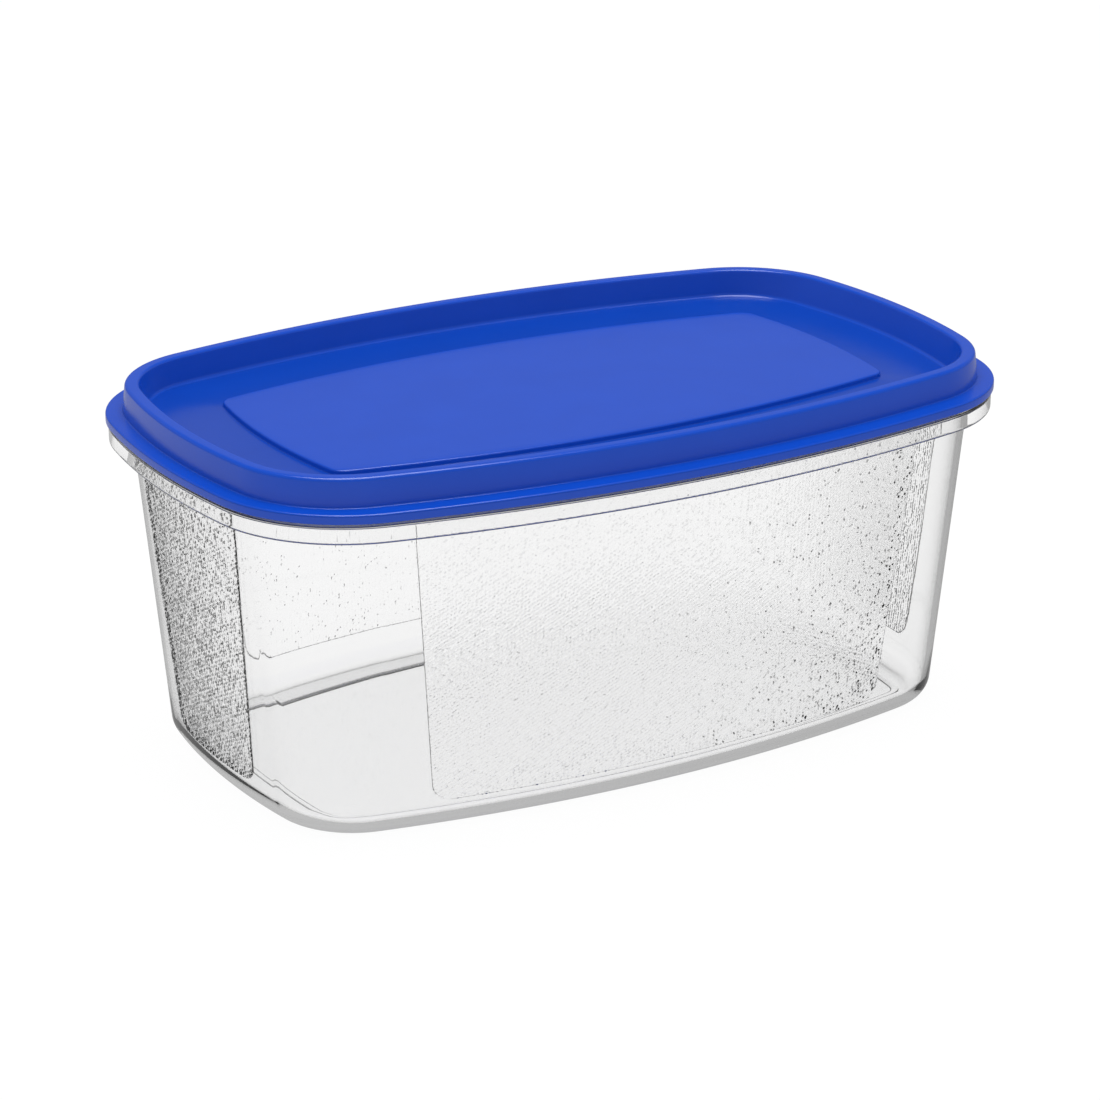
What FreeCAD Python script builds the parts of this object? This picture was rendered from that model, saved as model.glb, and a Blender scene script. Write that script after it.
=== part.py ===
import FreeCAD, Part

import math
import os

import Sketcher

# Snap lid food container: a clear drafted tub and a soft snap lid.
# Millimetres, +Z up, origin at the centre of the foot ring that the tub stands on.
# Every plan outline is a bowed rectangle: two long arcs, two short arcs and four
# corner arcs, all tangent, so an outline is grown or shrunk by adding to its sizes.

SIZES = {
    # plan outline of the lid's flange
    "flange_half_length": 105.0,
    "flange_half_width": 66.7,
    "flange_long_radius": 360.0,
    "flange_short_radius": 198.0,
    "flange_corner_radius": 35.0,
    # plan outline of the top of the lid's raised ring
    "ring_half_length": 100.6,
    "ring_half_width": 61.4,
    "ring_long_radius": 352.0,
    "ring_short_radius": 169.0,
    "ring_corner_radius": 28.6,
    # plan outline at the foot of the wall inside the ring
    "recess_half_length": 95.2,
    "recess_half_width": 57.4,
    "recess_long_radius": 358.0,
    "recess_short_radius": 148.0,
    "recess_corner_radius": 21.0,
    # plan outline of the raised centre panel of the lid
    "panel_half_length": 77.0,
    "panel_half_width": 38.8,
    "panel_long_radius": 327.0,
    "panel_short_radius": 158.0,
    "panel_corner_radius": 4.0,
    # plan outline of the tub's wall where it meets the shoulder
    "wall_half_length": 99.2,
    "wall_half_width": 61.0,
    "wall_long_radius": 354.5,
    "wall_short_radius": 192.5,
    "wall_corner_radius": 29.3,
    # plan outline of the tub's floor where it is stepped up; the recess below is a little smaller
    "foot_half_length": 82.5,
    "foot_half_width": 44.2,
    "foot_long_radius": 338.0,
    "foot_short_radius": 176.0,
    "foot_corner_radius": 5.5,
    # tub
    "shoulder_height": 80.7,
    "wall_taper": 7.4,
    "wall_thickness": 1.5,
    "foot_fillet": 5.7,
    "shoulder_thickness": 1.5,
    "skirt_inset": 0.6,
    "skirt_thickness": 1.4,
    "skirt_drop": 5.0,
    "skirt_fillet": 0.6,
    "rim_height": 7.0,
    "rim_outer_inset": 1.1,
    "rim_inner_inset": 2.3,
    "bead_inset": 0.9,
    "bead_bottom": 4.0,
    "bead_top": 5.0,
    "floor_thickness": 1.0,
    "floor_fillet": 6.2,
    "foot_recess": 0.5,
    "foot_recess_inset": 1.0,
    # shallow raised panels on the tub's four sides, which carry the embossed texture
    "emboss_height": 0.3,
    "emboss_bottom": 8.0,
    "long_emboss_half_bottom": 60.8,
    "long_emboss_half_top": 67.6,
    "short_emboss_half_bottom": 19.4,
    "short_emboss_half_top": 25.6,
    "emboss_corner": 4.2,
    # lid
    "flange_thickness": 2.2,
    "ring_height": 8.9,
    "ring_flare": 0.6,
    "ring_land": 3.55,
    "channel_outer_inset": 0.8,
    "channel_inner_inset": 2.6,
    "channel_height": 7.6,
    "channel_mouth_inset": 0.2,
    "plug_wall": 0.9,
    "membrane_bottom": 0.6,
    "membrane_top": 1.8,
    "panel_top": 3.05,
    "ring_outer_fillet": 0.9,
    "ring_inner_fillet": 0.8,
    "recess_fillet": 0.8,
    "panel_fillet": 0.5,
    "flange_fillet": 0.5,
    "crease_fillet": 0.3,
    "edge_fillet": 0.3,
    # how far a sketch that trims a whole body reaches past it
    "trim_margin": 5.0,
}

# How closely an edge has to keep to a height, to an outline and to a direction to be picked.
LEVEL_REACH = 0.01
OUTLINE_REACH = 0.05
OUTLINE_SAMPLES = (0.1, 0.5, 0.9)
PARALLEL = 0.99

doc = FreeCAD.newDocument("snap_lid_container")


def make_sheet():
    sheet = doc.addObject("Spreadsheet::Sheet", "Sizes")
    for row, (alias, value) in enumerate(SIZES.items(), start=1):
        sheet.set(f"A{row}", alias)
        sheet.set(f"B{row}", str(value))
        sheet.setAlias(f"B{row}", alias)
    doc.recompute()
    return sheet


def size(name):
    return f"Sizes.{name}"


def origin_plane(body, role):
    return next(f for f in body.Origin.OriginFeatures if f.Role == role)


def level_sketch(body, name, height):
    """A sketch parallel to the floor, at a height given as an expression."""
    sketch = body.newObject("Sketcher::SketchObject", name)
    sketch.AttachmentSupport = (origin_plane(body, "XY_Plane"), [""])
    sketch.MapMode = "FlatFace"
    sketch.setExpression("AttachmentOffset.Base.z", height)
    return sketch


def outline_sizes(sketch, family, grow):
    """The five expressions of an outline of this family grown by an expression."""
    parts = ("half_length", "half_width", "long_radius", "short_radius", "corner_radius")
    formulas = {part: f"{size(f'{family}_{part}')} + ({grow})" for part in parts}
    values = {part: float(sketch.evalExpression(text)) for part, text in formulas.items()}
    return formulas, values


def corner_centre(v):
    """Where the corner arc that touches both side arcs inside has its centre."""
    long_y = v["half_width"] - v["long_radius"]
    short_x = v["half_length"] - v["short_radius"]
    to_long = v["long_radius"] - v["corner_radius"]
    to_short = v["short_radius"] - v["corner_radius"]
    span = math.hypot(short_x, long_y)
    along = (to_long**2 - to_short**2 + span**2) / (2 * span)
    aside = math.sqrt(to_long**2 - along**2)
    ux, uy = short_x / span, -long_y / span
    return along * ux + aside * uy, long_y + along * uy - aside * ux


def add_outline(sketch, family, grow="0"):
    """Draw one bowed rectangle of eight tangent arcs and bind its sizes to the sheet."""
    formulas, v = outline_sizes(sketch, family, grow)
    cx, cy = corner_centre(v)
    long_y = v["half_width"] - v["long_radius"]
    short_x = v["half_length"] - v["short_radius"]
    if cx < 0 or cy < 0:
        raise ValueError(f"{family}: corner centre {cx:.2f}, {cy:.2f} is on the wrong side")
    short_angle = math.atan2(cy, cx - short_x)
    long_angle = math.atan2(cy - long_y, cx)
    quarter = math.pi / 2
    half_turn = math.pi
    arcs = [
        (short_x, 0, "short_radius", -short_angle, short_angle),
        (cx, cy, "corner_radius", short_angle, long_angle),
        (0, long_y, "long_radius", long_angle, half_turn - long_angle),
        (-cx, cy, "corner_radius", half_turn - long_angle, half_turn - short_angle),
        (-short_x, 0, "short_radius", half_turn - short_angle, half_turn + short_angle),
        (-cx, -cy, "corner_radius", half_turn + short_angle, half_turn + long_angle),
        (0, -long_y, "long_radius", half_turn + long_angle, 4 * quarter - long_angle),
        (cx, -cy, "corner_radius", -long_angle, -short_angle),
    ]
    first = sketch.GeometryCount
    up = FreeCAD.Vector(0, 0, 1)
    for x, y, radius, start, end in arcs:
        circle = Part.Circle(FreeCAD.Vector(x, y, 0), up, v[radius])
        sketch.addGeometry(Part.ArcOfCircle(circle, start, end), False)
    for i in range(len(arcs)):
        following = first + (i + 1) % len(arcs)
        sketch.addConstraint(Sketcher.Constraint("Tangent", first + i, 2, following, 1))
    right, corner, back, left, front = (first + i for i in (0, 1, 2, 4, 6))
    for other in (3, 5, 7):
        sketch.addConstraint(Sketcher.Constraint("Equal", corner, first + other))
    sketch.addConstraint(Sketcher.Constraint("Equal", back, front))
    sketch.addConstraint(Sketcher.Constraint("Equal", right, left))
    for side in (back, front):
        sketch.addConstraint(Sketcher.Constraint("PointOnObject", side, 3, -2))
    for side in (right, left):
        sketch.addConstraint(Sketcher.Constraint("PointOnObject", side, 3, -1))

    def bind(constraint, formula):
        index = sketch.addConstraint(constraint)
        sketch.setExpression(f"Constraints[{index}]", formula)

    bind(Sketcher.Constraint("Radius", back, v["long_radius"]), formulas["long_radius"])
    bind(Sketcher.Constraint("Radius", right, v["short_radius"]), formulas["short_radius"])
    bind(Sketcher.Constraint("Radius", corner, v["corner_radius"]), formulas["corner_radius"])
    bowed = f"({formulas['long_radius']}) - ({formulas['half_width']})"
    bind(Sketcher.Constraint("DistanceY", back, 3, -1, 1, -long_y), bowed)
    bind(Sketcher.Constraint("DistanceY", -1, 1, front, 3, -long_y), bowed)
    bowed = f"({formulas['short_radius']}) - ({formulas['half_length']})"
    bind(Sketcher.Constraint("DistanceX", right, 3, -1, 1, -short_x), bowed)
    bind(Sketcher.Constraint("DistanceX", -1, 1, left, 3, -short_x), bowed)


def outline(body, name, height, family, *grows):
    sketch = level_sketch(body, name, height)
    for grow in grows or ("0",):
        add_outline(sketch, family, grow)
    return sketch


def extrude(body, name, sketch, length, kind="PartDesign::Pad", widening=None):
    """Pad upward, or pocket upward from the sketch's plane, widening on every side on the way."""
    feature = body.newObject(kind, name)
    feature.Profile = sketch
    feature.setExpression("Length", length)
    if widening:
        feature.setExpression("TaperAngle", f"atan(({widening}) / ({length}))")
    feature.Reversed = kind == "PartDesign::Pocket"
    doc.recompute()
    return feature


def loft(body, name, low, high, kind="PartDesign::AdditiveLoft"):
    feature = body.newObject(kind, name)
    feature.Profile = low
    feature.Sections = [high]
    feature.Ruled = True
    doc.recompute()
    return feature


def follows_outline(edge, base, family, grow):
    _, v = outline_sizes(base, family, grow)
    cx, cy = corner_centre(v)
    long_y = v["half_width"] - v["long_radius"]
    short_x = v["half_length"] - v["short_radius"]
    span = edge.LastParameter - edge.FirstParameter
    for share in OUTLINE_SAMPLES:
        point = edge.valueAt(edge.FirstParameter + share * span)
        x, y = abs(point.x), abs(point.y)
        gaps = (
            abs(math.hypot(x, y - long_y) - v["long_radius"]),
            abs(math.hypot(x - short_x, y) - v["short_radius"]),
            abs(math.hypot(x - cx, y - cy) - v["corner_radius"]),
        )
        if min(gaps) > OUTLINE_REACH:
            return False
    return True


def round_edges(body, name, radius, chosen):
    """Fillet the edges of the body's present shape that a test picks out."""
    base = body.Tip
    names = [f"Edge{i}" for i, edge in enumerate(base.Shape.Edges, start=1) if chosen(edge)]
    if not names:
        raise ValueError(f"{name}: no edge to round")
    fillet = body.newObject("PartDesign::Fillet", name)
    fillet.Base = (base, names)
    fillet.setExpression("Radius", size(radius))
    doc.recompute()
    return fillet


def is_level(edge, height):
    box = edge.BoundBox
    return abs(box.ZMin - height) < LEVEL_REACH and abs(box.ZMax - height) < LEVEL_REACH


def on_outline(base, height, family, grow="0"):
    """A test for edges that run along an outline at a height."""
    level = value_of(base, height)
    return lambda edge: is_level(edge, level) and follows_outline(edge, base, family, grow)


def value_of(base, formula):
    return float(base.evalExpression(formula))


def trapezoid(sketch, half_low, half_high, low, high, low_is_below=False):
    """Four lines, level top and bottom, symmetric about the upright axis."""
    a, b, c, d = (value_of(sketch, f) for f in (half_low, half_high, low, high))
    c = -c if low_is_below else c
    corners = [FreeCAD.Vector(x, y, 0) for x, y in ((-a, c), (a, c), (b, d), (-b, d))]
    first = sketch.GeometryCount
    for i in range(4):
        sketch.addGeometry(Part.LineSegment(corners[i], corners[(i + 1) % 4]), False)
    for i in range(4):
        joint = Sketcher.Constraint("Coincident", first + i, 2, first + (i + 1) % 4, 1)
        sketch.addConstraint(joint)
    bottom, top = first, first + 2
    sketch.addConstraint(Sketcher.Constraint("Symmetric", bottom, 1, bottom, 2, -2))
    sketch.addConstraint(Sketcher.Constraint("Symmetric", top, 1, top, 2, -2))

    def bind(constraint, formula):
        index = sketch.addConstraint(constraint)
        sketch.setExpression(f"Constraints[{index}]", formula)

    bind(Sketcher.Constraint("DistanceX", -1, 1, bottom, 2, a), half_low)
    bind(Sketcher.Constraint("DistanceX", -1, 1, top, 1, b), half_high)
    bind(Sketcher.Constraint("DistanceY", -1, 1, top, 1, d), high)
    if low_is_below:
        bind(Sketcher.Constraint("DistanceY", bottom, 2, -1, 1, -c), low)
    else:
        bind(Sketcher.Constraint("DistanceY", -1, 1, bottom, 2, c), low)


def emboss_body(name, plane, family):
    """A slab of the tub, a little proud of the wall, left where one pair of panels is."""
    body = doc.addObject("PartDesign::Body", name)
    skin = size("emboss_height")
    foot = outline(body, f"{name}_foot", "0", "wall", f"{skin} - {size('wall_taper')}")
    extrude(body, f"{name}_skin", foot, size("shoulder_height"), widening=size("wall_taper"))
    around = body.newObject("Sketcher::SketchObject", f"{name}_around")
    around.AttachmentSupport = (origin_plane(body, plane), [""])
    around.MapMode = "FlatFace"
    margin = size("trim_margin")
    beyond = f"{size('flange_half_length')} + {margin}"
    above = f"{size('shoulder_height')} + {margin}"
    trapezoid(around, beyond, beyond, margin, above, low_is_below=True)
    top = f"{size('shoulder_height')} - {size('shoulder_thickness')} / 2"
    half_bottom = size(f"{family}_half_bottom")
    half_top = size(f"{family}_half_top")
    trapezoid(around, half_bottom, half_top, size("emboss_bottom"), top)
    cut = body.newObject("PartDesign::Pocket", f"{name}_cut")
    cut.Profile = around
    cut.Type = "ThroughAll"
    cut.Midplane = True
    doc.recompute()
    along = FreeCAD.Vector(0, 1, 0) if plane == "XZ_Plane" else FreeCAD.Vector(1, 0, 0)
    level = SIZES["emboss_bottom"]

    def bottom_corner(edge):
        straight = edge.Curve.TypeId == "Part::GeomLine"
        if not straight or not is_level(edge, level):
            return False
        return abs(edge.tangentAt(edge.FirstParameter).dot(along)) > PARALLEL

    round_edges(body, f"{name}_corners", "emboss_corner", bottom_corner)
    return body


def make_tub():
    taper = size("wall_taper")
    wall = size("wall_thickness")
    shoulder = size("shoulder_height")
    panels = [
        emboss_body("long_panels", "XZ_Plane", "long_emboss"),
        emboss_body("short_panels", "YZ_Plane", "short_emboss"),
    ]
    tub = doc.addObject("PartDesign::Body", "tub")
    sketch = outline(tub, "foot_outline", "0", "wall", f"-{taper}")
    extrude(tub, "outer_wall", sketch, shoulder, widening=taper)

    raised = tub.newObject("PartDesign::Boolean", "raised_panels")
    raised.Group = panels
    raised.Type = "Fuse"
    doc.recompute()

    under = f"{shoulder} - {size('shoulder_thickness')}"
    edge = f"-{size('skirt_inset')}"
    sketch = outline(tub, "shoulder_outline", under, "flange", edge)
    extrude(tub, "shoulder", sketch, size("shoulder_thickness"))
    inside = f"-{size('skirt_inset')} - {size('skirt_thickness')}"
    bottom = f"{shoulder} - {size('skirt_drop')}"
    sketch = outline(tub, "skirt_outline", bottom, "flange", edge, inside)
    extrude(tub, "skirt", sketch, size("skirt_drop"))
    sketch = outline(tub, "rim_outline", shoulder, "ring", f"-{size('rim_outer_inset')}")
    extrude(tub, "rim", sketch, size("rim_height"))
    bead_bottom = size("bead_bottom")
    bead_level = f"{shoulder} + {bead_bottom}"
    sketch = outline(tub, "bead_outline", bead_level, "ring", f"-{size('bead_inset')}")
    extrude(tub, "bead", sketch, f"{size('bead_top')} - {bead_bottom}")

    rim_top = f"{shoulder} + {size('rim_height')}"
    floor = size("floor_thickness")
    inside_taper = f"{taper} * (1 - {floor} / {shoulder})"
    floor_grow = f"-{wall} - {inside_taper}"
    sketch = outline(tub, "floor_outline", floor, "wall", floor_grow)
    inside_height = f"{shoulder} - {floor}"
    extrude(tub, "cavity", sketch, inside_height, "PartDesign::Pocket", inside_taper)
    low = outline(tub, "mouth_low_outline", shoulder, "wall", f"-{wall}")
    high = outline(tub, "mouth_outline", rim_top, "ring", f"-{size('rim_inner_inset')}")
    loft(tub, "mouth", low, high, "PartDesign::SubtractiveLoft")
    floor_edge = on_outline(tub.Tip, floor, "wall", floor_grow)
    round_edges(tub, "floor_round", "floor_fillet", floor_edge)
    round_edges(tub, "foot_round", "foot_fillet", on_outline(tub.Tip, "0", "wall", f"-{taper}"))

    sketch = outline(tub, "raised_floor_outline", floor, "foot")
    extrude(tub, "raised_floor", sketch, size("foot_recess"))
    sketch = outline(tub, "foot_recess_outline", "0", "foot", f"-{size('foot_recess_inset')}")
    extrude(tub, "foot_recess", sketch, size("foot_recess"), "PartDesign::Pocket")

    skirt_foot = on_outline(tub.Tip, bottom, "flange", edge)
    round_edges(tub, "skirt_round", "skirt_fillet", skirt_foot)
    tub.Tip = tub.Group[-1]
    return tub


def make_lid():
    """Drawn with the underside of its flange at zero, then set on the tub's shoulder."""
    lid = doc.addObject("PartDesign::Body", "lid")
    thick = size("flange_thickness")
    top = size("ring_height")
    flare = size("ring_flare")
    floor = size("membrane_top")
    under = size("membrane_bottom")

    sketch = outline(lid, "flange_outline", "0", "flange")
    extrude(lid, "flange", sketch, thick)
    round_edges(lid, "flange_top_round", "flange_fillet", on_outline(lid.Tip, thick, "flange"))
    round_edges(lid, "flange_foot_round", "edge_fillet", on_outline(lid.Tip, "0", "flange"))

    sketch = outline(lid, "ring_outline", thick, "ring", flare)
    extrude(lid, "ring", sketch, f"{top} - {thick}", widening=f"-{flare}")
    round_edges(lid, "ring_outer_round", "ring_outer_fillet", on_outline(lid.Tip, top, "ring"))
    crease = on_outline(lid.Tip, thick, "ring", flare)
    round_edges(lid, "crease_round", "crease_fillet", crease)

    mouth = size("channel_mouth_inset")
    outer = size("channel_outer_inset")
    sketch = outline(lid, "channel_outline", "0", "ring", f"-{mouth}")
    extrude(lid, "channel", sketch, size("channel_height"), "PartDesign::Pocket", f"{mouth} - {outer}")
    low = outline(lid, "plug_foot_outline", "0", "recess", size("plug_wall"))
    inner = f"-{size('channel_inner_inset')}"
    high = outline(lid, "plug_top_outline", size("channel_height"), "ring", inner)
    loft(lid, "plug", low, high)

    low = outline(lid, "recess_outline", floor, "recess")
    land = f"-{size('ring_land')}"
    high = outline(lid, "recess_top_outline", top, "ring", land)
    loft(lid, "recess", low, high, "PartDesign::SubtractiveLoft")
    recess_top = on_outline(lid.Tip, top, "ring", land)
    round_edges(lid, "ring_inner_round", "ring_inner_fillet", recess_top)
    round_edges(lid, "recess_round", "recess_fillet", on_outline(lid.Tip, floor, "recess"))

    sketch = outline(lid, "panel_outline", floor, "panel")
    extrude(lid, "panel", sketch, f"{size('panel_top')} - {floor}")
    panel_edge = on_outline(lid.Tip, size("panel_top"), "panel")
    round_edges(lid, "panel_round", "panel_fillet", panel_edge)

    sketch = outline(lid, "underside_outline", "0", "recess", size("plug_wall"))
    extrude(lid, "underside", sketch, under, "PartDesign::Pocket")
    sheet = f"{floor} - {under}"
    sketch = outline(lid, "panel_back_outline", under, "panel", f"-({sheet})")
    extrude(lid, "panel_back", sketch, f"{size('panel_top')} - {floor}", "PartDesign::Pocket")

    lid.Tip = lid.Group[-1]
    lid.setExpression("Placement.Base.z", size("shoulder_height"))
    return lid


def export(part):
    shape = part.Shape
    if shape.isNull() or not shape.isValid() or len(shape.Solids) != 1:
        raise ValueError(f"{part.Label}: not one valid solid")
    shape.exportStep(os.path.join("parts", f"{part.Label}.step"))


make_sheet()
parts = [make_tub(), make_lid()]
doc.recompute()
for item in doc.Objects:
    if "Invalid" in item.State or "Error" in item.State:
        raise ValueError(f"{item.Name} did not compute")
os.makedirs("parts", exist_ok=True)
for part in parts:
    export(part)
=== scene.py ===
import math

import bpy
import numpy as np
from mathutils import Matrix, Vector


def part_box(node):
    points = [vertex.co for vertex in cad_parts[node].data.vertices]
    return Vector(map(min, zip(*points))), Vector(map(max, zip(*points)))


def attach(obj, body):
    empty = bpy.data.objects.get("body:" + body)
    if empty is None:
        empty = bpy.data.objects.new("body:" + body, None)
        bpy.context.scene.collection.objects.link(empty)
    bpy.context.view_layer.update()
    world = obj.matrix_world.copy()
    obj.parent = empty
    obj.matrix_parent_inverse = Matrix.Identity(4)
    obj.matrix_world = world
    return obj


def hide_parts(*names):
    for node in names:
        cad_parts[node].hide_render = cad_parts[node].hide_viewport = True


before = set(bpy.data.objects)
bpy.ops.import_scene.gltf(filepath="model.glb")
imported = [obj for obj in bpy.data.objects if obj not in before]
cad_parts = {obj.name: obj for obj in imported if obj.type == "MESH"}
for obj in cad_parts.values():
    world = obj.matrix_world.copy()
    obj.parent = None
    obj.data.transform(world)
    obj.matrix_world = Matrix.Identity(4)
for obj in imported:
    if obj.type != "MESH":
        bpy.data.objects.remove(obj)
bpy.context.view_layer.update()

# Sizes are in millimetres until a mesh is made, with the origin and axes of the CAD.
MM = 0.001
SHARP = math.radians(42)
lid_low, lid_high = (Vector(corner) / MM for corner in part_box("lid"))
SHOULDER = lid_low.z
FLANGE_LENGTH = lid_high.x
RIM_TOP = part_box("tub")[1][2] / MM

# Plan outlines: half-length, half-width, and the radii of the long sides, short sides and corners.
# Growing an outline adds the same amount to all five.
FLANGE = np.array([FLANGE_LENGTH, 66.7, 360.0, 198.0, 35.0])
RING = np.array([100.6, 61.4, 352.0, 169.0, 28.6])
RECESS = np.array([95.2, 57.4, 358.0, 148.0, 21.0])
PANEL = np.array([77.0, 38.8, 327.0, 158.0, 4.0])
WALL = np.array([99.2, 61.0, 354.5, 192.5, 29.3])
FOOT = np.array([82.5, 44.2, 338.0, 176.0, 5.5])

# Tub
WALL_TAPER = 7.4
WALL_THICKNESS = 1.5
WALL_SLOPE = math.atan2(WALL_TAPER, SHOULDER)
FOOT_FILLET = 5.7
FLOOR_THICKNESS = 1.0
FLOOR_FILLET = 6.2
FOOT_RECESS = 0.3
FOOT_RECESS_INSET = 1.8
STEP_ROUND = 0.14
STEP_FORWARD = 0.8
STEP_JOG = 2.4
STEP_JOG_FADE = 1.2
STEP_JOG_REACH = 61.2
STEP_JOG_WIDTH = 1.0
SHOULDER_THICKNESS = 1.5
SKIRT_INSET = 0.6
SKIRT_THICKNESS = 1.4
SKIRT_DROP = 5.0
SKIRT_ROOT = 0.3
WALL_ROOT = 0.35
SHOULDER_EDGE = 0.2
RIM_INSET = 1.1
RIM_ROOT = 0.25
RIM_ROUND = 0.6
BEAD = 0.2
BEAD_HEIGHTS = (3.9, 4.2, 4.8, 5.2)
RAISED_INSET = 1.0
LID_GAP = 0.05

# Lid, with its heights measured from the shoulder
MEMBRANE_BOTTOM = 0.6
MEMBRANE_TOP = 1.8
FLANGE_THICKNESS = 2.2
PANEL_TOP = 3.05
CHANNEL_TOP = 7.6
CHANNEL_OUTSIDE = 0.8
CHANNEL_INSIDE = 2.6
RING_LAND = 3.55
RING_FLARE = 0.6
RECESS_TO_CHANNEL = 0.95
PANEL_HOLLOW_INSET = 1.2
PANEL_HOLLOW_DEPTH = 1.25

# Embossed texture on the tub's four sides: a grid of slanting pebbles on a slightly raised
# panel, with lower pebbles on the back
CELL = 2.93
CELL_COLUMNS = 12
PEBBLE_HEIGHT = 0.37
BACK_HEIGHT = 0.27
EMBOSS_HEIGHT = 0.4
EMBOSS_BOTTOM = 7.8
EMBOSS_CORNER = 4.2
EMBOSS_EDGE = 0.05
EMBOSS_BORDER = 0.25
PEBBLE_LEAN = math.radians(58)
LEAN_SPREAD = math.radians(20)
STAGGER = 0.5
JITTER = 0.3
SHORTEST, LENGTH_SPREAD = 0.8, 0.5
LOWEST, HEIGHT_SPREAD = 0.4, 0.6

# Half-widths of the textured panels, at the bottom and at the top
LONG_EMBOSS = (60.8, 67.6)
SHORT_EMBOSS = (19.4, 25.6)

# Linear colours of the lid's plastic, and how much painted shade darkens the floor of the recess,
# where the ring's wall keeps light off
DEEP_BLUE = (0.0018, 0.052, 0.43, 1)
LIGHT_BLUE = (0.0026, 0.061, 0.49, 1)
RECESS_PAINTED_SHADE = 0.8

# Greys of the room by the height of the direction, 0 for level and 1 for straight up: mirrored
# by any surface, mirrored and also seen through the tub, and as light on matt surfaces
SEEN_IN_LID = ((0.0, 0.12), (0.20, 0.22), (0.36, 0.28), (0.50, 0.12), (0.85, 0.12), (1.0, 0.3))
SEEN_IN_TUB = ((0.0, 0.25), (0.16, 0.25), (0.26, 0.58), (0.44, 0.58), (0.54, 0.15))
LIGHT_ON_SURFACES = ((0.0, 0.75), (1.0, 0.65))

# A mix node's colour sockets
MIX_A = 6
MIX_B = 7
MIX_RESULT = 2


def corner_centre(outline):
    """Where the corner arc that touches both side arcs inside has its centre."""
    half_length, half_width, long_radius, short_radius, corner_radius = outline
    long_y = half_width - long_radius
    short_x = half_length - short_radius
    to_long = long_radius - corner_radius
    to_short = short_radius - corner_radius
    span = math.hypot(short_x, long_y)
    along = (to_long**2 - to_short**2 + span**2) / (2 * span)
    aside = math.sqrt(to_long**2 - along**2)
    ux, uy = short_x / span, -long_y / span
    return along * ux + aside * uy, long_y + along * uy - aside * ux


class Columns:
    """Where the upright lines of a skin's mesh meet an outline, for one quarter of it.

    Along each side they are at fixed distances from the middle, which spread a little with
    height, and then at even shares of what is left of the side's arc and of the corner's arc.
    """

    def __init__(self, short_y, long_x, short_rest, corner, long_rest, spreads=(1, 1)):
        self.short_y = np.asarray(short_y, float)
        self.long_x = np.asarray(long_x, float)
        self.short_rest = short_rest
        self.corner = corner
        self.long_rest = long_rest
        self.spreads = spreads

    def quarter(self, outline, share):
        """The points of one quarter, from the right side's middle to the back's."""
        half_length, half_width, long_radius, short_radius, corner_radius = outline
        cx, cy = corner_centre(outline)
        long_y = half_width - long_radius
        short_x = half_length - short_radius
        short_end = math.atan2(cy, cx - short_x)
        long_end = math.atan2(cy - long_y, cx)
        short_spread, long_spread = (1 + (spread - 1) * share for spread in self.spreads)
        fixed = np.arcsin(self.short_y * short_spread / short_radius)
        rest = np.linspace(fixed[-1], short_end, self.short_rest + 1)[1:]
        a = np.concatenate([fixed, rest])
        points = [np.c_[short_x + short_radius * np.cos(a), short_radius * np.sin(a)]]
        a = np.linspace(short_end, long_end, self.corner + 1)[1:]
        points.append(np.c_[cx + corner_radius * np.cos(a), cy + corner_radius * np.sin(a)])
        fixed = np.arccos(self.long_x * long_spread / long_radius)
        rest = np.linspace(long_end, fixed[-1], self.long_rest + 1)[1:-1]
        a = np.concatenate([rest, fixed[::-1]])
        points.append(np.c_[long_radius * np.cos(a), long_y + long_radius * np.sin(a)])
        return np.concatenate(points)

    def loop(self, outline, share=0.0):
        """The closed line of points, counter-clockwise from the middle of the right side."""
        q = self.quarter(outline, share)
        left = np.c_[-q[:, 0], q[:, 1]][::-1]
        half = np.concatenate([q, left[1:]])
        lower = np.c_[half[:, 0], -half[:, 1]][::-1]
        return np.concatenate([half, lower[1:-1]])


def mesh_through(name, loops):
    """A closed mesh through loops of points, from the middle of one face, out round the body
    and back to the middle of the other. Each end is closed by one flat face."""
    count = len(loops[0])
    verts = np.concatenate(loops) * MM
    index = np.arange(len(loops) * count).reshape(len(loops), count)
    a, b = index[:-1], index[1:]
    quads = np.stack([a, np.roll(a, -1, 1), np.roll(b, -1, 1), b], -1).reshape(-1, 4)
    caps = [index[0][::-1], index[-1]]
    corners = np.concatenate([quads.ravel(), *caps])
    first_cap = len(quads) * 4
    starts = np.concatenate([np.arange(len(quads)) * 4, [first_cap, first_cap + count]])
    totals = np.concatenate([np.full(len(quads), 4), [count, count]])
    mesh = bpy.data.meshes.new(name)
    mesh.vertices.add(len(verts))
    mesh.vertices.foreach_set("co", verts.astype(np.float32).ravel())
    mesh.loops.add(len(corners))
    mesh.loops.foreach_set("vertex_index", corners.astype(np.int32))
    mesh.polygons.add(len(totals))
    mesh.polygons.foreach_set("loop_start", starts.astype(np.int32))
    mesh.polygons.foreach_set("loop_total", totals.astype(np.int32))
    mesh.update(calc_edges=True)
    mesh.validate()
    mesh.polygons.foreach_set("use_smooth", np.ones(len(totals), bool))
    mesh.set_sharp_from_angle(angle=SHARP)
    obj = bpy.data.objects.new(name, mesh)
    bpy.context.scene.collection.objects.link(obj)
    return obj


def arc(centre, radius, start, end, steps):
    """Points of an arc in a section, angles in degrees."""
    a = np.radians(np.linspace(start, end, steps + 1))
    return [(centre[0] + radius * math.cos(t), centre[1] + radius * math.sin(t)) for t in a]


def smooth(share):
    """0 below 0, 1 above 1, and an even S-curve between."""
    share = np.clip(share, 0, 1)
    return share * share * (3 - 2 * share)


def up_the_panel(height):
    """The share of the way from the bottom of the textured panels to their top."""
    return float(np.clip((height - EMBOSS_BOTTOM) / (SHOULDER - EMBOSS_BOTTOM), 0, 1))


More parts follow.
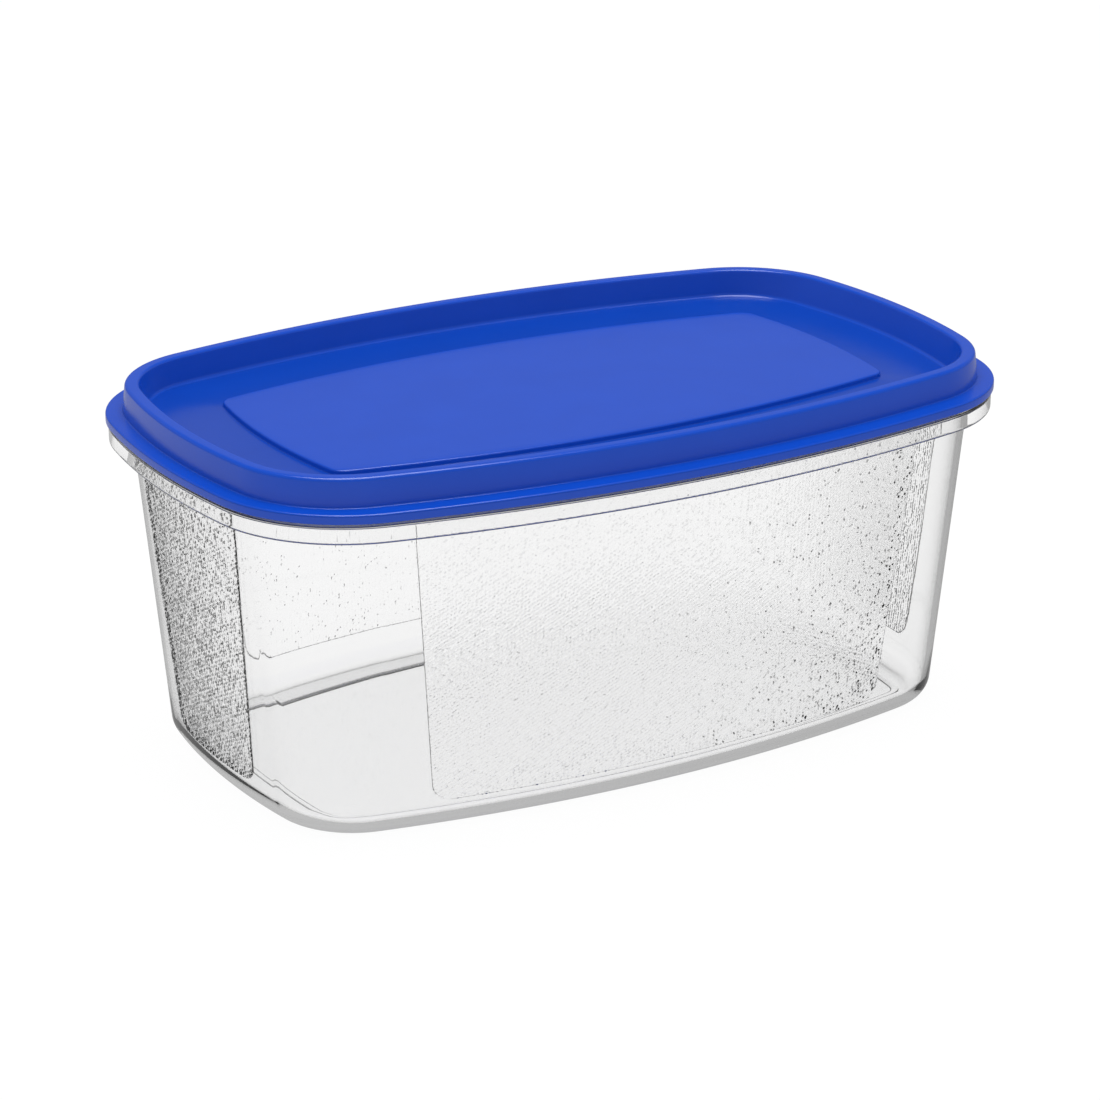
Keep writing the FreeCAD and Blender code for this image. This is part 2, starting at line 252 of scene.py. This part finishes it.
def emboss(across, height, half_widths, relief):
    """How far the wall stands out at a place on one textured side, seen from outside."""
    low, high = half_widths
    side = low + (high - low) * up_the_panel(height) - np.abs(across)
    floor = height - EMBOSS_BOTTOM
    radius = EMBOSS_CORNER
    rounded = radius - np.hypot(np.maximum(radius - side, 0), np.maximum(radius - floor, 0))
    inside = np.minimum(np.minimum(side, floor), rounded)
    raised = smooth(inside / EMBOSS_EDGE)
    u, v = across / CELL, (height - EMBOSS_BOTTOM) / CELL
    return raised * (EMBOSS_HEIGHT + relief * pebbles(u, v))


def scatter(column, row, seed):
    """A repeatable number from 0 to 1 for each cell of the grid."""
    mixed = np.sin(column * 12.99 + row * 78.23 + seed * 37.72) * 43758.55
    return mixed - np.floor(mixed)


def pebble(u, v, seed, length, width):
    """One leaning oval per cell, rising to a steep flank on one side, different in every cell."""
    column = np.floor(u)
    v = v + STAGGER * (column % 2)
    row = np.floor(v)
    middle = 0.5
    across = u - column - middle + JITTER * (scatter(column, row, seed) - middle)
    up = v - row - middle + JITTER * (scatter(column, row, seed + 1) - middle)
    turn = PEBBLE_LEAN + LEAN_SPREAD * (scatter(column, row, seed + 4) - middle)
    along = across * np.cos(turn) + up * np.sin(turn)
    aside = up * np.cos(turn) - across * np.sin(turn)
    stretch = SHORTEST + LENGTH_SPREAD * scatter(column, row, seed + 2)
    inside = 1 - (along / (length * stretch)) ** 2 - (aside / width) ** 2
    ramp = 0.5 + 0.5 * aside / width
    return (inside > 0) * ramp * (LOWEST + HEIGHT_SPREAD * scatter(column, row, seed + 3))


def pebbles(u, v):
    """Small pebbles at a third of the grid's pitch, with one larger one in every cell."""
    small = pebble(3 * u, 3 * v, seed=1, length=0.50, width=0.26)
    large = pebble(u, v, seed=7, length=0.28, width=0.11)
    return np.maximum(0.97 * small, 0.82 * large)


def wall_grow(height):
    """How much larger the wall's outline is at a height than at the shoulder."""
    return -WALL_TAPER * (1 - height / SHOULDER)


def wall_row(columns, height):
    """One row of the outer wall, with the texture's relief along the wall's own normal."""
    xy = columns.loop(WALL + wall_grow(height), up_the_panel(height))
    along = np.roll(xy, -1, 0) - np.roll(xy, 1, 0)
    normal = np.c_[along[:, 1], -along[:, 0]]
    normal /= np.linalg.norm(normal, axis=1, keepdims=True)
    flat = math.cos(WALL_SLOPE)
    on_long = np.abs(normal[:, 1]) > np.abs(normal[:, 0])
    long_depth = np.where(xy[:, 1] > 0, BACK_HEIGHT, PEBBLE_HEIGHT)
    long_relief = emboss(xy[:, 0], height, LONG_EMBOSS, long_depth)
    short_relief = emboss(-xy[:, 1], height, SHORT_EMBOSS, PEBBLE_HEIGHT)
    relief = np.where(on_long, long_relief, short_relief)
    moved = xy + normal * (relief * flat)[:, None]
    z = height - relief * math.sin(WALL_SLOPE)
    return np.c_[moved, z]


def section(outline, pairs):
    """Rings round the body from (growth, height) points of its section."""
    return [(outline + grow, height) for grow, height in pairs]


def rings_to_loops(columns, rings):
    """Level loops of points, one for each ring of (outline, height)."""
    loops = []
    for outline, height in rings:
        xy = columns.loop(outline, up_the_panel(height))
        loops.append(np.c_[xy, np.full(len(xy), height)])
    return loops


def foot_step(columns, grow, height):
    """A ring of the step in the floor, which jogs inwards behind the back's textured panel."""
    xy = columns.loop(FOOT + grow)
    x, y = np.abs(xy[:, 0]), xy[:, 1]
    behind = smooth((STEP_JOG_REACH - x) / STEP_JOG_WIDTH) * smooth(y / FOOT[1])
    fading = STEP_JOG - STEP_JOG_FADE * (1 - np.minimum(x / STEP_JOG_REACH, 1))
    y = y - behind * fading - STEP_FORWARD * smooth(-y / FOOT[1])
    return np.c_[xy[:, 0], y, np.full(len(xy), height)]


def panel_columns(half_width, step):
    """Even columns over a textured panel, with one at each side of its edge's slope."""
    even = np.linspace(0, half_width - EMBOSS_BORDER, round(half_width / step))
    return np.concatenate([even, half_width - np.array([EMBOSS_EDGE, 0, -EMBOSS_BORDER])])


def make_tub():
    """The clear tub, in loops from the middle of its underside, over the rim, to its inside."""
    step = CELL / CELL_COLUMNS
    columns = Columns(
        short_y=panel_columns(SHORT_EMBOSS[0], step),
        long_x=panel_columns(LONG_EMBOSS[0], step),
        short_rest=14,
        corner=28,
        long_rest=12,
        spreads=(SHORT_EMBOSS[1] / SHORT_EMBOSS[0], LONG_EMBOSS[1] / LONG_EMBOSS[0]),
    )
    slope = math.degrees(WALL_SLOPE)
    loops = []

    # underside: recess, foot, round up into the wall
    under = -FOOT_RECESS_INSET
    ceiling = arc((under - STEP_ROUND, FOOT_RECESS - STEP_ROUND), STEP_ROUND, 90, 0, 4)
    ring = arc((under + STEP_ROUND, STEP_ROUND), STEP_ROUND, 180, 270, 4)
    middle = (under - RAISED_INSET, FOOT_RECESS)
    for grow, height in (middle, *ceiling, *ring):
        loops.append(foot_step(columns, grow, height))
    up = FOOT_FILLET * (1 - math.sin(WALL_SLOPE)) / math.cos(WALL_SLOPE)
    grow = -WALL_TAPER + up * math.sin(WALL_SLOPE) - FOOT_FILLET * math.cos(WALL_SLOPE)
    fillet = arc((grow, FOOT_FILLET), FOOT_FILLET, -90, -slope, 14)
    loops += rings_to_loops(columns, section(WALL, fillet))

    # outer wall with its relief, up to the shoulder's underside
    start = fillet[-1][1]
    under = SHOULDER - SHOULDER_THICKNESS
    below_root = under - 0.4
    rows = np.arange(EMBOSS_BOTTOM + EMBOSS_BORDER, below_root, step)
    edge_rows = EMBOSS_BOTTOM + np.array([-EMBOSS_BORDER, 0, EMBOSS_EDGE])
    heights = np.concatenate([np.linspace(start, edge_rows[0], 5)[1:-1], edge_rows, rows])
    loops += [wall_row(columns, height) for height in heights]
    turn = (wall_grow(under) + WALL_ROOT, under - WALL_ROOT)
    loops += rings_to_loops(columns, section(WALL, arc(turn, WALL_ROOT, 180, 90, 3)))

    # skirt, shoulder, rim
    inner = -SKIRT_INSET - SKIRT_THICKNESS
    bottom = SHOULDER - SKIRT_DROP
    half = SKIRT_THICKNESS / 2
    land = SHOULDER - LID_GAP
    edge = (-SKIRT_INSET - SHOULDER_EDGE, land - SHOULDER_EDGE)
    skirt = [
        *arc((inner - SKIRT_ROOT, under - SKIRT_ROOT), SKIRT_ROOT, 90, 0, 3),
        *arc((inner + half, bottom + half), half, 180, 360, 14),
        *arc(edge, SHOULDER_EDGE, 0, 90, 3),
    ]
    loops += rings_to_loops(columns, section(FLANGE, skirt))
    bead_start, bead_full, bead_fade, bead_end = (SHOULDER + up for up in BEAD_HEIGHTS)
    rim = [
        *arc((-RIM_INSET + RIM_ROOT, land + RIM_ROOT), RIM_ROOT, 270, 180, 3),
        (-RIM_INSET, bead_start),
        (-RIM_INSET + BEAD, bead_full),
        (-RIM_INSET + BEAD, bead_fade),
        (-RIM_INSET, bead_end),
        *arc((-RIM_INSET - RIM_ROUND, RIM_TOP - RIM_ROUND), RIM_ROUND, 0, 180, 10),
    ]
    loops += rings_to_loops(columns, section(RING, rim))

    # inner wall, floor and the floor's raised middle
    inside = -WALL_THICKNESS / math.cos(WALL_SLOPE)
    above_round = 7
    heights = np.linspace(SHOULDER, above_round, 12)
    inner_wall = [(inside + wall_grow(height), height) for height in heights]
    loops += rings_to_loops(columns, section(WALL, inner_wall[:-1]))
    up = FLOOR_FILLET * (1 - math.sin(WALL_SLOPE)) / math.cos(WALL_SLOPE)
    grow = inside + wall_grow(FLOOR_THICKNESS) + up * math.sin(WALL_SLOPE)
    grow -= FLOOR_FILLET * math.cos(WALL_SLOPE)
    centre = (grow, FLOOR_THICKNESS + FLOOR_FILLET)
    loops += rings_to_loops(columns, section(WALL, arc(centre, FLOOR_FILLET, -slope, -90, 12)))
    raised = FLOOR_THICKNESS + FOOT_RECESS
    foot = arc((STEP_ROUND, FLOOR_THICKNESS + STEP_ROUND), STEP_ROUND, 270, 180, 4)
    edge = arc((-STEP_ROUND, raised - STEP_ROUND), STEP_ROUND, 0, 90, 4)
    for grow, height in (*foot, *edge, (-RAISED_INSET, raised)):
        loops.append(foot_step(columns, grow, height))
    return mesh_through("tub_body", loops)


def make_lid():
    """The lid, in rings from its centre panel, over the flange's edge, to its underside. They are
    turned round at the end, so that the faces look outwards."""
    columns = Columns(
        short_y=np.linspace(0, 18, 13),
        long_x=np.linspace(0, 60, 33),
        short_rest=10,
        corner=30,
        long_rest=10,
    )
    base = SHOULDER
    top = lid_high.z
    floor = base + MEMBRANE_TOP
    under = base + MEMBRANE_BOTTOM
    panel_top = base + PANEL_TOP

    # centre panel, from a ring on its flat top to the crease at its foot
    edge, crease = 0.5, 0.25
    rings = section(PANEL, [(-3.0, panel_top), *arc((-edge, panel_top - edge), edge, 90, 10, 6)])
    rings += section(PANEL, arc((0.3, floor + crease), crease, 190, 270, 4))

    # concave foot of the recess, the wall inside the ring, and the ring's top
    foot, inner_edge, outer_edge = 1.2, 0.8, 0.95
    rings += section(RECESS, [(-1.6, floor), *arc((-foot, floor + foot), foot, 270, 350, 8)])
    inner_centre = (-RING_LAND + inner_edge, top - inner_edge)
    rings += section(RING, arc(inner_centre, inner_edge, 170, 90, 7))
    rings += section(RING, arc((-outer_edge, top - outer_edge), outer_edge, 90, 5, 8))

    # the ring's flared foot and the flange
    level = base + FLANGE_THICKNESS
    root, top_edge, under_edge = 0.3, 0.55, 0.3
    rings += section(RING, arc((RING_FLARE + root, level + root), root, 175, 270, 5))
    rings += section(FLANGE, arc((-top_edge, level - top_edge), top_edge, 90, 0, 7))
    rings += section(FLANGE, arc((-under_edge, base + under_edge), under_edge, 0, -90, 4))

    # underside: the channel that grips the rim, and the back of the membrane
    channel = base + CHANNEL_TOP
    corner = 0.3
    outer = (-CHANNEL_OUTSIDE - corner, channel - corner)
    inner = (-CHANNEL_INSIDE + corner, channel - corner)
    lower = (RECESS_TO_CHANNEL - corner, under + corner)
    rings += section(RING, [(0.0, base), (-0.2, base + 0.1)])
    rings += section(RING, arc(outer, corner, 0, 90, 3))
    rings += section(RING, arc(inner, corner, 90, 180, 3))
    rings += section(RECESS, arc(lower, corner, 0, -90, 4))

    # the hollow behind the centre panel
    hollow = -PANEL_HOLLOW_INSET
    ceiling = under + PANEL_HOLLOW_DEPTH
    bevel = 0.4
    rings += section(PANEL, [(hollow + bevel, under), (hollow, under + bevel)])
    rings += section(PANEL, [(hollow, ceiling - 0.35), (hollow - bevel, ceiling)])
    rings += section(PANEL, [(hollow - 2, ceiling)])
    return mesh_through("lid_body", rings_to_loops(columns, rings[::-1]))


def node(tree, kind, **inputs):
    """A shader node with some of its sockets set; a name ending in an underscore is a property."""
    made = tree.nodes.new(kind)
    for key, value in inputs.items():
        if key.endswith("_"):
            setattr(made, key[:-1], value)
        else:
            made.inputs[key.replace("__", " ")].default_value = value
    return made


def plastic(name):
    """A new material, and its surface shader."""
    material = bpy.data.materials.new(name)
    material.use_nodes = True
    return material, material.node_tree.nodes["Principled BSDF"]


def clear_plastic():
    """Clear glossy moulding."""
    material, shader = plastic("clear_plastic")
    shader.inputs["Base Color"].default_value = (0.99, 0.99, 0.99, 1)
    shader.inputs["Transmission Weight"].default_value = 1.0
    shader.inputs["IOR"].default_value = 1.49
    shader.inputs["Roughness"].default_value = 0.02
    return material


def blue_plastic():
    """Semi-gloss blue moulding with a fine grain, and painted shade that makes the floor of the
    recess a little darker.
    """
    material, shader = plastic("blue_plastic")
    tree = material.node_tree
    link = tree.links.new
    where = node(tree, "ShaderNodeTexCoord")
    grain = node(tree, "ShaderNodeTexNoise", Scale=2600.0, Detail=3.0, Roughness=0.6)
    blotch = node(tree, "ShaderNodeTexNoise", Scale=60.0, Detail=4.0, Roughness=0.55)
    link(where.outputs["Object"], grain.inputs["Vector"])
    link(where.outputs["Object"], blotch.inputs["Vector"])
    colour = node(tree, "ShaderNodeMix", data_type_="RGBA", clamp_factor_=True)
    colour.inputs[MIX_A].default_value = DEEP_BLUE
    colour.inputs[MIX_B].default_value = LIGHT_BLUE
    link(blotch.outputs["Fac"], colour.inputs["Factor"])
    split = node(tree, "ShaderNodeSeparateXYZ")
    link(where.outputs["Object"], split.inputs["Vector"])
    # Painted shade: the colour is multiplied darker wherever the height is within 0.12 mm of the
    # recess floor's. That covers the floor of the recess and also a thin line round the flange's
    # side.
    shade_mask = node(tree, "ShaderNodeMath", operation_="COMPARE")
    recess_floor, within = shade_mask.inputs[1], shade_mask.inputs[2]
    recess_floor.default_value = (SHOULDER + MEMBRANE_TOP) * MM
    within.default_value = 0.12 * MM
    link(split.outputs["Z"], shade_mask.inputs[0])
    painted_shade = node(tree, "ShaderNodeMix", data_type_="RGBA", blend_type_="MULTIPLY")
    painted_shade.inputs[MIX_B].default_value = (RECESS_PAINTED_SHADE, RECESS_PAINTED_SHADE, RECESS_PAINTED_SHADE, 1)
    link(shade_mask.outputs[0], painted_shade.inputs["Factor"])
    link(colour.outputs[MIX_RESULT], painted_shade.inputs[MIX_A])
    link(painted_shade.outputs[MIX_RESULT], shader.inputs["Base Color"])
    bump = node(tree, "ShaderNodeBump", Strength=0.25, Distance=0.00004)
    link(grain.outputs["Fac"], bump.inputs["Height"])
    link(bump.outputs["Normal"], shader.inputs["Normal"])
    shader.inputs["Roughness"].default_value = 0.22
    shader.inputs["IOR"].default_value = 1.5
    return material


def path_went(tree, depth):
    """1 on light paths with at least one bounce of this kind on their way here, otherwise 0."""
    path = node(tree, "ShaderNodeLightPath")
    went = node(tree, "ShaderNodeMath", operation_="GREATER_THAN")
    went.inputs[1].default_value = 0.5
    tree.links.new(path.outputs[depth], went.inputs[0])
    return went.outputs[0]


def make_floor():
    """A plain white table. What surfaces mirror of it is greyer, and darker towards the right."""
    mesh = bpy.data.meshes.new("floor")
    reach = 6.0
    low = -0.0002
    signs = ((-1, -1), (1, -1), (1, 1), (-1, 1))
    corners = [(x * reach, y * reach, low) for x, y in signs]
    mesh.from_pydata(corners, [], [(0, 1, 2, 3)])
    floor = bpy.data.objects.new("floor", mesh)
    bpy.context.scene.collection.objects.link(floor)
    material, shader = plastic("pale_floor")
    tree = material.node_tree
    link = tree.links.new
    where = node(tree, "ShaderNodeTexCoord")
    split = node(tree, "ShaderNodeSeparateXYZ")
    grey = node(tree, "ShaderNodeMapRange", clamp_=True)
    link(where.outputs["Object"], split.inputs["Vector"])
    link(split.outputs["X"], grey.inputs["Value"])
    left_end, right_end, left_grey, right_grey = -0.3, 0.3, 0.58, 0.35
    grey.inputs["From Min"].default_value = left_end
    grey.inputs["From Max"].default_value = right_end
    grey.inputs["To Min"].default_value = left_grey
    grey.inputs["To Max"].default_value = right_grey
    strength = node(tree, "ShaderNodeMix", data_type_="FLOAT")
    strength.inputs["A"].default_value = 0.97
    link(path_went(tree, "Glossy Depth"), strength.inputs["Factor"])
    link(grey.outputs["Result"], strength.inputs["B"])
    link(strength.outputs["Result"], shader.inputs["Emission Strength"])
    shader.inputs["Emission Color"].default_value = (1, 1, 1, 1)
    shader.inputs["Base Color"].default_value = (0.04, 0.04, 0.04, 1)
    shader.inputs["Specular IOR Level"].default_value = 0.0
    shader.inputs["Roughness"].default_value = 1.0
    floor.data.materials.append(material)


def area_light(name, place, aim, side, watts, diffuse):
    """A square light, in metres; diffuse is its share on matt surfaces."""
    data = bpy.data.lights.new(name, "AREA")
    data.shape = "SQUARE"
    data.size = side
    data.energy = watts
    light = bpy.data.objects.new(name, data)
    light.location = place
    light.rotation_euler = (Vector(aim) - Vector(place)).to_track_quat("-Z", "Y").to_euler()
    bpy.context.scene.collection.objects.link(light)
    light.visible_camera = False
    data.diffuse_factor = diffuse


def grey_ramp(tree, value, stops):
    """A grey that depends on a value, through (value, grey) stops."""
    ramp = node(tree, "ShaderNodeValToRGB")
    tree.links.new(value, ramp.inputs["Fac"])
    elements = ramp.color_ramp.elements
    while len(elements) < len(stops):
        elements.new(0.5)
    for element, (position, grey) in zip(elements, stops):
        element.position = position
        element.color = (grey, grey, grey, 1)
    return ramp.outputs["Color"]


def either(tree, factor, off, on):
    """One colour where the factor is 0 and another where it is 1."""
    mix = node(tree, "ShaderNodeMix", data_type_="RGBA")
    tree.links.new(factor, mix.inputs["Factor"])
    tree.links.new(off, mix.inputs[MIX_A])
    tree.links.new(on, mix.inputs[MIX_B])
    return mix.outputs[MIX_RESULT]


def make_world():
    """A white room that lights matt surfaces a little less. What surfaces mirror of it is dim, or
    for light that also went through the tub, brightest from 15 to 26 degrees up."""
    world = bpy.data.worlds.new("studio")
    bpy.context.scene.world = world
    world.use_nodes = True
    tree = world.node_tree
    where = node(tree, "ShaderNodeTexCoord")
    split = node(tree, "ShaderNodeSeparateXYZ")
    tree.links.new(where.outputs["Generated"], split.inputs["Vector"])
    up = split.outputs["Z"]
    open_room = node(tree, "ShaderNodeRGB")
    open_room.outputs[0].default_value = (1, 1, 1, 1)
    on_lid = grey_ramp(tree, up, SEEN_IN_LID)
    in_tub = grey_ramp(tree, up, SEEN_IN_TUB)
    shaded = grey_ramp(tree, up, LIGHT_ON_SURFACES)
    mirrored = either(tree, path_went(tree, "Transmission Depth"), on_lid, in_tub)
    seen = either(tree, path_went(tree, "Glossy Depth"), open_room.outputs[0], mirrored)
    lit = either(tree, path_went(tree, "Diffuse Depth"), seen, shaded)
    tree.links.new(lit, tree.nodes["Background"].inputs["Color"])
    tree.nodes["Background"].inputs["Strength"].default_value = 1.0


def make_camera():
    """A long lens, from the front left and above."""
    azimuth, elevation = math.radians(-30.118), math.radians(20.208)
    distance = 836.8
    aside, lower = 1.475, 36.49
    back = Vector(
        (
            math.sin(azimuth) * math.cos(elevation),
            -math.cos(azimuth) * math.cos(elevation),
            math.sin(elevation),
        )
    )
    right = Vector((math.cos(azimuth), math.sin(azimuth), 0))
    up = back.cross(right)
    target = Vector((0, 0, SHOULDER)) - aside * right - lower * up
    data = bpy.data.cameras.new("camera")
    data.lens = 114.23
    data.sensor_width = 36.0
    data.clip_start = 0.01
    camera = bpy.data.objects.new("camera", data)
    camera.location = (target + distance * back) * MM
    camera.rotation_euler = (-back).to_track_quat("-Z", "Y").to_euler()
    bpy.context.scene.collection.objects.link(camera)
    bpy.context.scene.camera = camera


def finish_piece(piece, material, body, cad_node):
    """Gives a piece its material and says what it rides on and stands in for."""
    piece.data.materials.append(material)
    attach(piece, body)
    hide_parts(cad_node)


finish_piece(make_tub(), clear_plastic(), "tub", "tub")
finish_piece(make_lid(), blue_plastic(), "lid", "lid")
make_floor()
make_world()
area_light("overhead", place=(0, 0, 1.3), aim=(0, 0, 0.05), side=0.8, watts=13.0, diffuse=0.55)
make_camera()

view = bpy.context.scene.view_settings
view.view_transform = "Standard"
view.look = "None"
